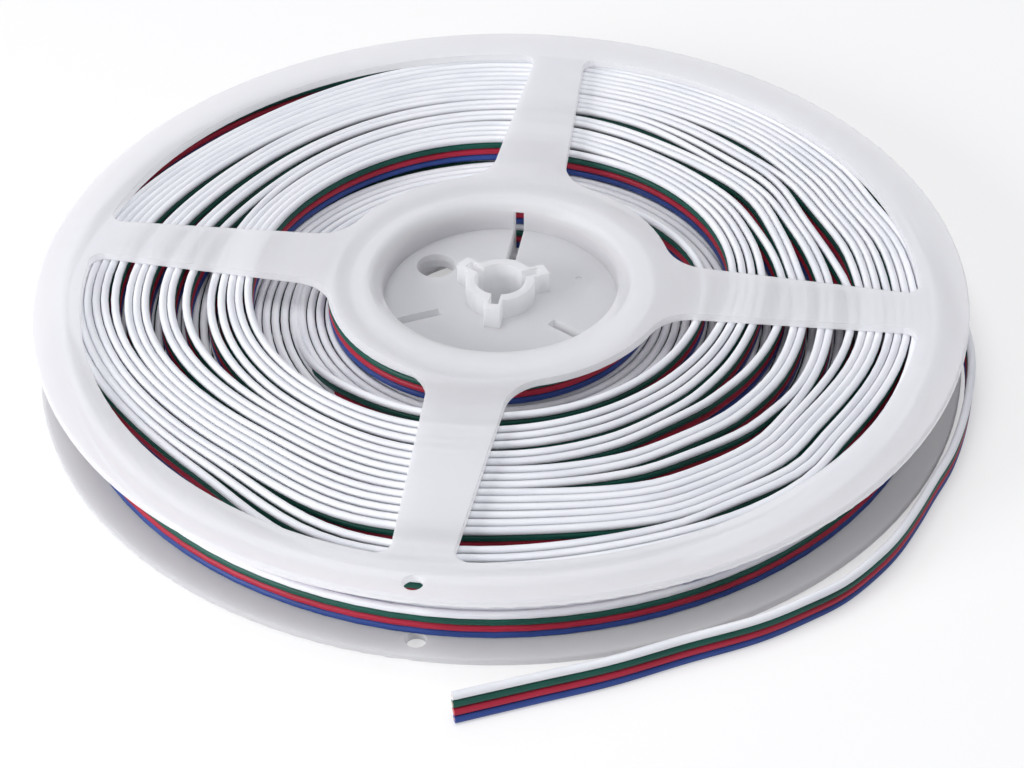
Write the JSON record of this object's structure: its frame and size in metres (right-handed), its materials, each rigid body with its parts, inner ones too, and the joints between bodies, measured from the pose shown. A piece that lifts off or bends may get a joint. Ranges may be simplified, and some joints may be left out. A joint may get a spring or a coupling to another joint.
{
  "type": "ribbon cable reel",
  "caption": "Flat ribbon cable of bonded coloured cores, wound in layers on a flanged plastic reel with a keyed hub, its free end lying beside it.",
  "frame": {"origin": "on the reel's axis, at the outer face of the lower flange, which the reel lies on", "axes": "+Z along the spindle bore, up; +Y along the spoke opposite the tie hole"},
  "size_m": [0.2023, 0.2143, 0.0168],
  "materials": {
    "reel_plastic": "milky, slightly translucent moulded plastic with a soft satin surface",
    "white_insulation": "satin soft PVC",
    "green_insulation": "satin soft PVC",
    "red_insulation": "satin soft PVC",
    "blue_insulation": "satin soft PVC",
    "copper_strands": "bare stranded copper, cut square"
  },
  "bodies": {
    "root": {"upper_reel_half": "reel_plastic", "lower_reel_half": "reel_plastic", "blue_lower_coil": "blue_insulation", "blue_inner_coil": "blue_insulation", "blue_outer_coil": "blue_insulation", "blue_tail": "blue_insulation", "red_lower_coil": "red_insulation", "red_inner_coil": "red_insulation", "red_outer_coil": "red_insulation", "red_tail": "red_insulation", "green_lower_coil": "green_insulation", "green_inner_coil": "green_insulation", "green_outer_coil": "green_insulation", "green_tail": "green_insulation", "white_lower_coil": "white_insulation", "white_inner_coil": "white_insulation", "white_outer_coil": "white_insulation", "white_tail": "white_insulation"}
  },
  "joints": []
}
